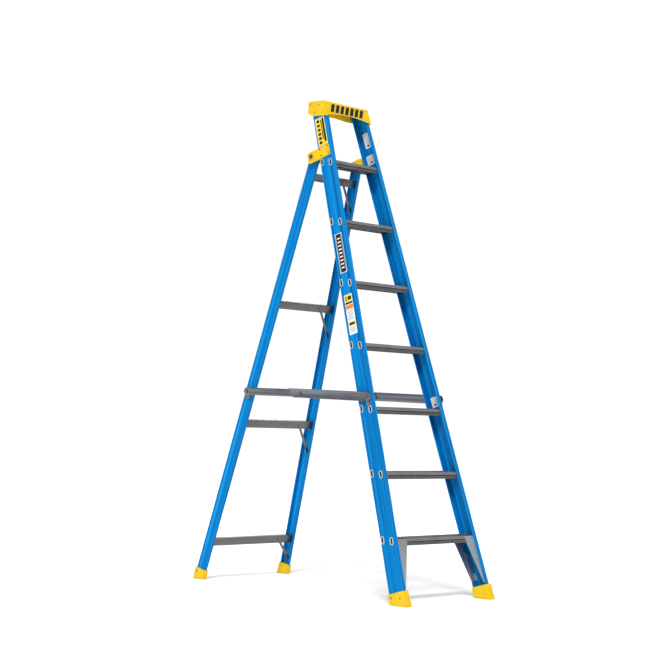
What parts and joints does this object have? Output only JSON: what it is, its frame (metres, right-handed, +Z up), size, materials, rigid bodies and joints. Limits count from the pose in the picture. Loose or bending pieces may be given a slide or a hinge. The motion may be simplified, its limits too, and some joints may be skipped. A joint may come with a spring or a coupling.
{
  "type": "step ladder",
  "caption": "Tall A-frame step ladder: blue channel rails, flat ribbed treads, hinged rear frame, folding spreaders, yellow cap and boots.",
  "frame": {"origin": "on the ground under the middle of the ladder's box", "axes": "+X across the ladder to the climber's right, +Y from the climbing side to the rear, +Z up"},
  "size_m": [0.6934, 1.419, 2.44],
  "materials": {
    "blue_fibreglass": "pultruded glass-fibre resin, satin, with faint lengthwise bands",
    "yellow_plastic": "injection-moulded plastic, low gloss",
    "tread_aluminium": "extruded, ribbed, mill finish",
    "mill_aluminium": "mill finish, faint rolling lines",
    "spreader_steel": "zinc-plated strip",
    "zinc_steel": "zinc-plated, slightly dull",
    "nylon": "natural nylon",
    "label": "printed vinyl film"
  },
  "bodies": {
    "front_frame": {"left_rail": "blue_fibreglass", "right_rail": "blue_fibreglass", "step_1": "tread_aluminium", "step_2": "tread_aluminium", "step_3": "tread_aluminium", "step_4": "tread_aluminium", "step_5": "tread_aluminium", "step_6": "tread_aluminium", "step_7": "tread_aluminium", "top_cap": "yellow_plastic", "cap_rivets": "zinc_steel", "left_hinge_bracket": "yellow_plastic", "right_hinge_bracket": "yellow_plastic", "hinge_bracket_rivets": "zinc_steel", "left_hinge_bolt": "zinc_steel", "right_hinge_bolt": "zinc_steel", "hinge_washers": "nylon", "hinge_nuts": "zinc_steel", "left_front_foot": "yellow_plastic", "right_front_foot": "yellow_plastic", "front_foot_rivets": "zinc_steel", "left_front_gusset": "mill_aluminium", "right_front_gusset": "mill_aluminium", "left_rear_gusset": "mill_aluminium", "right_rear_gusset": "mill_aluminium", "gusset_rivets": "zinc_steel", "left_front_spreader_plate": "spreader_steel", "right_front_spreader_plate": "spreader_steel", "front_spreader_pins": "zinc_steel", "front_plate_rivets": "zinc_steel", "left_rail_labels": "label", "right_rail_labels": "label"},
    "rear_frame": {"left_leg": "blue_fibreglass", "right_leg": "blue_fibreglass", "rear_bar_1": "mill_aluminium", "rear_bar_2": "mill_aluminium", "rear_bar_3": "mill_aluminium", "rear_bar_4": "mill_aluminium", "rear_bar_rivets": "zinc_steel", "bar_braces": "mill_aluminium", "brace_rivets": "zinc_steel", "left_rear_foot": "yellow_plastic", "right_rear_foot": "yellow_plastic", "rear_foot_rivets": "zinc_steel", "left_rear_spreader_plate": "spreader_steel", "right_rear_spreader_plate": "spreader_steel", "rear_spreader_pins": "zinc_steel", "rear_plate_rivets": "zinc_steel"},
    "left_front_bar": {"left_front_spreader": "spreader_steel", "left_knee_head": "zinc_steel"},
    "left_rear_bar": {"left_rear_spreader": "spreader_steel", "left_knee_collar": "zinc_steel"},
    "right_front_bar": {"right_front_spreader": "spreader_steel", "right_knee_head": "zinc_steel"},
    "right_rear_bar": {"right_rear_spreader": "spreader_steel", "right_knee_collar": "zinc_steel"}
  },
  "joints": [
    {"name": "rear_fold", "type": "hinge", "parent": "front_frame", "child": "rear_frame", "pos_m": [0, 0.1312, 2.155], "axis": [-1, 0, 0], "range_deg": [0, 32.2]},
    {"name": "left_front_bar_pivot", "type": "hinge", "parent": "front_frame", "child": "left_front_bar", "pos_m": [0, -0.37159, 0.9615], "axis": [1, 0, 0], "range_deg": [0, 66.07]},
    {"name": "left_rear_bar_pivot", "type": "hinge", "parent": "rear_frame", "child": "left_rear_bar", "pos_m": [0, 0.43163, 0.9677], "axis": [-1, 0, 0], "range_deg": [0, 65.28]},
    {"name": "right_front_bar_pivot", "type": "hinge", "parent": "front_frame", "child": "right_front_bar", "pos_m": [0, -0.37159, 0.9615], "axis": [1, 0, 0], "range_deg": [0, 66.07]},
    {"name": "right_rear_bar_pivot", "type": "hinge", "parent": "rear_frame", "child": "right_rear_bar", "pos_m": [0, 0.43163, 0.9677], "axis": [-1, 0, 0], "range_deg": [0, 65.28]}
  ],
  "couplings": [
    {"joint": "left_front_bar_pivot", "follows": "rear_fold", "ratio": 2.0505},
    {"joint": "left_rear_bar_pivot", "follows": "rear_fold", "ratio": 2.0259},
    {"joint": "right_front_bar_pivot", "follows": "rear_fold", "ratio": 2.0505},
    {"joint": "right_rear_bar_pivot", "follows": "rear_fold", "ratio": 2.0259}
  ]
}
